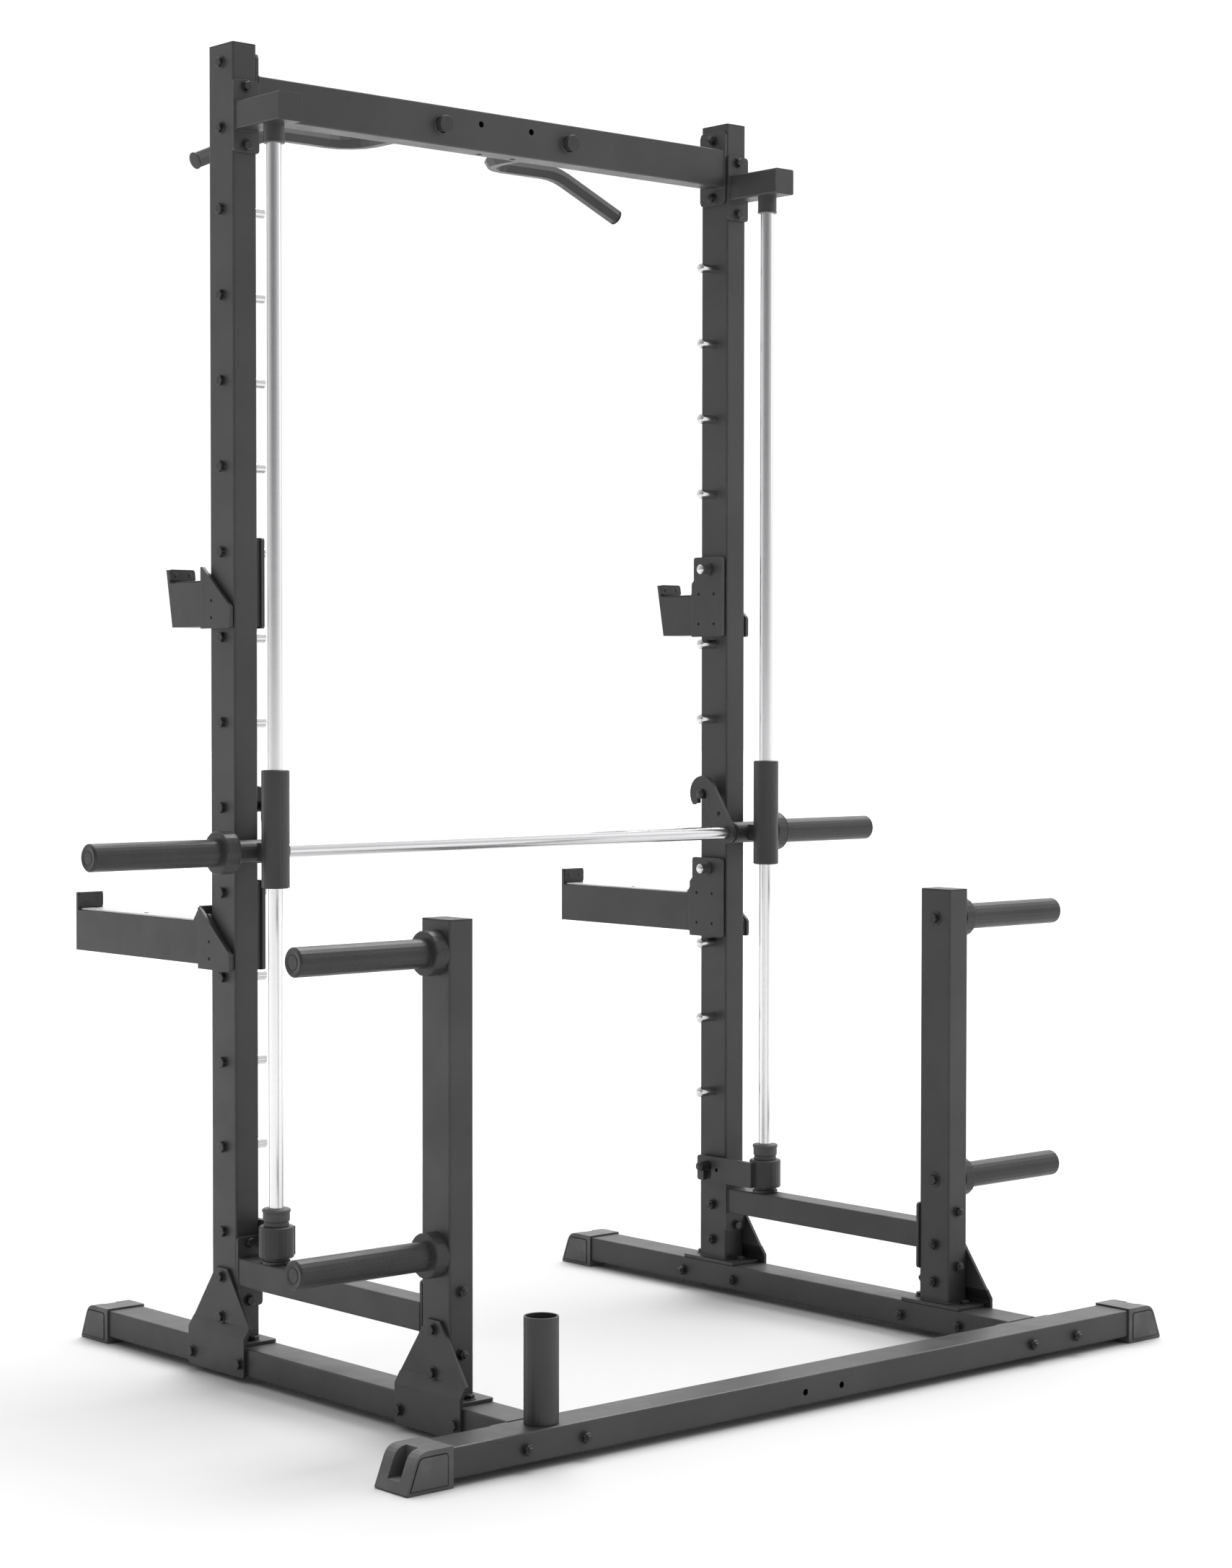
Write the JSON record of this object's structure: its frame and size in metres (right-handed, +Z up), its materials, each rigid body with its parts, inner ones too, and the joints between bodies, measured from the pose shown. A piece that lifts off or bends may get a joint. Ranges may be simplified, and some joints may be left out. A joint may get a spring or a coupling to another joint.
{
  "type": "half rack with guided bar",
  "caption": "Free-standing steel half rack with a bar guided on chrome rods, safety catches, J-hooks, long spotter arms, weight storage horns and bent pull-up handles",
  "frame": {"origin": "middle of the footprint box, on the floor", "axes": "+Z up, +X across from the left upright to the right one, +Y from the storage side towards the spotter arms"},
  "size_m": [1.906, 1.3914, 2.3878],
  "materials": {
    "frame_paint": "satin black powder coat, fine wrinkle",
    "chrome": "polished hard chrome",
    "sleeve_coat": "coarse wrinkle black coat",
    "rubber": "moulded black rubber, matt",
    "black_plastic": "moulded black plastic, matt",
    "wear_strip": "brushed light metal strip"
  },
  "bodies": {
    "frame": {"bar_holder": "frame_paint", "cross_tube": "frame_paint", "foot_cap_front_left": "rubber", "foot_cap_front_right": "rubber", "foot_cap_rear_left": "rubber", "foot_cap_rear_right": "rubber", "guide_rod_left": "chrome", "guide_rod_right": "chrome", "link_tube_left": "frame_paint", "link_tube_right": "frame_paint", "post_base_plate_left": "frame_paint", "post_base_plate_right": "frame_paint", "post_cap_left": "black_plastic", "post_cap_right": "black_plastic", "post_gusset_left": "frame_paint", "post_gusset_right": "frame_paint", "post_left": "frame_paint", "post_right": "frame_paint", "pullup_handle_left": "frame_paint", "pullup_handle_right": "frame_paint", "rod_bracket_left": "frame_paint", "rod_bracket_right": "frame_paint", "rod_collar_left": "frame_paint", "rod_collar_right": "frame_paint", "side_tube_left": "frame_paint", "side_tube_right": "frame_paint", "storage_horn_lower_left": "sleeve_coat", "storage_horn_lower_right": "sleeve_coat", "storage_horn_upper_left": "sleeve_coat", "storage_horn_upper_right": "sleeve_coat", "top_beam": "frame_paint", "upright_base_plate_left": "frame_paint", "upright_base_plate_right": "frame_paint", "upright_cap_left": "black_plastic", "upright_cap_right": "black_plastic", "upright_gusset_left": "frame_paint", "upright_gusset_right": "frame_paint", "upright_left": "frame_paint", "upright_right": "frame_paint"},
    "carriage": {"carriage_bush_left": "black_plastic", "carriage_bush_right": "black_plastic", "carriage_left": "frame_paint", "carriage_right": "frame_paint"},
    "bar": {"bar_hook_left": "frame_paint", "bar_hook_right": "frame_paint", "bar_shaft": "chrome", "bar_sleeve_left": "sleeve_coat", "bar_sleeve_right": "sleeve_coat", "sleeve_cap_left": "black_plastic", "sleeve_cap_right": "black_plastic"},
    "catch_left": {"catch_bumper_left": "rubber", "safety_catch_left": "frame_paint"},
    "jhook_left": {"jhook_left": "frame_paint"},
    "spotter_left": {"spotter_arm_left": "frame_paint", "spotter_strip_left": "wear_strip"},
    "catch_right": {"catch_bumper_right": "rubber", "safety_catch_right": "frame_paint"},
    "jhook_right": {"jhook_right": "frame_paint"},
    "spotter_right": {"spotter_arm_right": "frame_paint", "spotter_strip_right": "wear_strip"}
  },
  "joints": [
    {"name": "carriage_slide", "type": "slide", "parent": "frame", "child": "carriage", "axis": [0, 0, 1], "range_m": [0, 0.1]},
    {"name": "bar_turn", "type": "hinge", "parent": "carriage", "child": "bar", "pos_m": [0, 0.14075, 0.9483], "axis": [1, 0, 0], "range_deg": [0, 2]},
    {"name": "catch_slide_left", "type": "slide", "parent": "frame", "child": "catch_left", "axis": [0, 0, 1], "range_m": [0, 0.12]},
    {"name": "catch_slide_right", "type": "slide", "parent": "frame", "child": "catch_right", "axis": [0, 0, 1], "range_m": [0, 0.12]},
    {"name": "jhook_pivot_left", "type": "hinge", "parent": "frame", "child": "jhook_left", "pos_m": [-0.6037, 0.21075, 1.484], "axis": [1, 0, 0], "range_deg": [0, 80]},
    {"name": "jhook_pivot_right", "type": "hinge", "parent": "frame", "child": "jhook_right", "pos_m": [0.6037, 0.21075, 1.484], "axis": [1, 0, 0], "range_deg": [0, 80]},
    {"name": "spotter_pivot_left", "type": "hinge", "parent": "frame", "child": "spotter_left", "pos_m": [-0.6037, 0.21075, 0.8724], "axis": [1, 0, 0], "range_deg": [0, 70]},
    {"name": "spotter_pivot_right", "type": "hinge", "parent": "frame", "child": "spotter_right", "pos_m": [0.6037, 0.21075, 0.8724], "axis": [1, 0, 0], "range_deg": [0, 70]}
  ]
}
